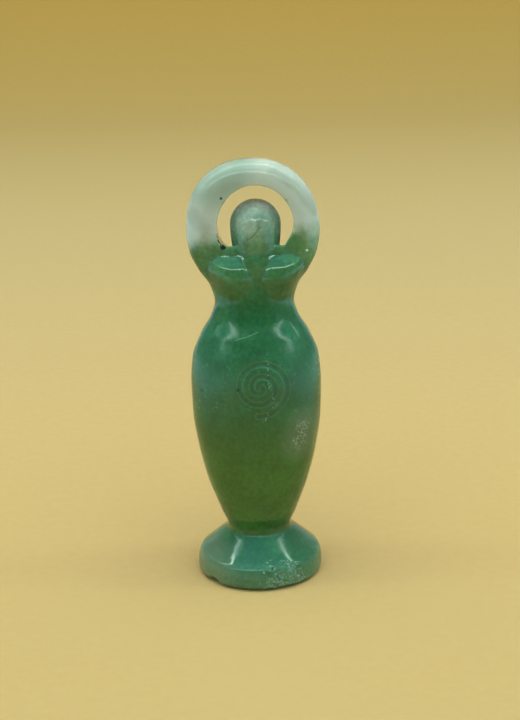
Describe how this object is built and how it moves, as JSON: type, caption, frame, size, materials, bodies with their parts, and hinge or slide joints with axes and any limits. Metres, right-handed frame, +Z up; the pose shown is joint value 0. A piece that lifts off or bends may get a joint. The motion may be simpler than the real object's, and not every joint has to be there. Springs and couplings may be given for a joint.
{
  "type": "goddess carving",
  "caption": "Polished stone goddess figure on a round foot, arms joined in a ring round a plain head, spiral cut into the belly.",
  "frame": {"origin": "centre of the foot's flat underside", "axes": "+Z up along the figure, the front with the spiral faces -Y, +X to the right in the front view"},
  "size_m": [0.0228, 0.0224, 0.075],
  "materials": {
    "green_stone": "polished"
  },
  "bodies": {
    "root": {"goddess_carving": "green_stone"}
  },
  "joints": []
}
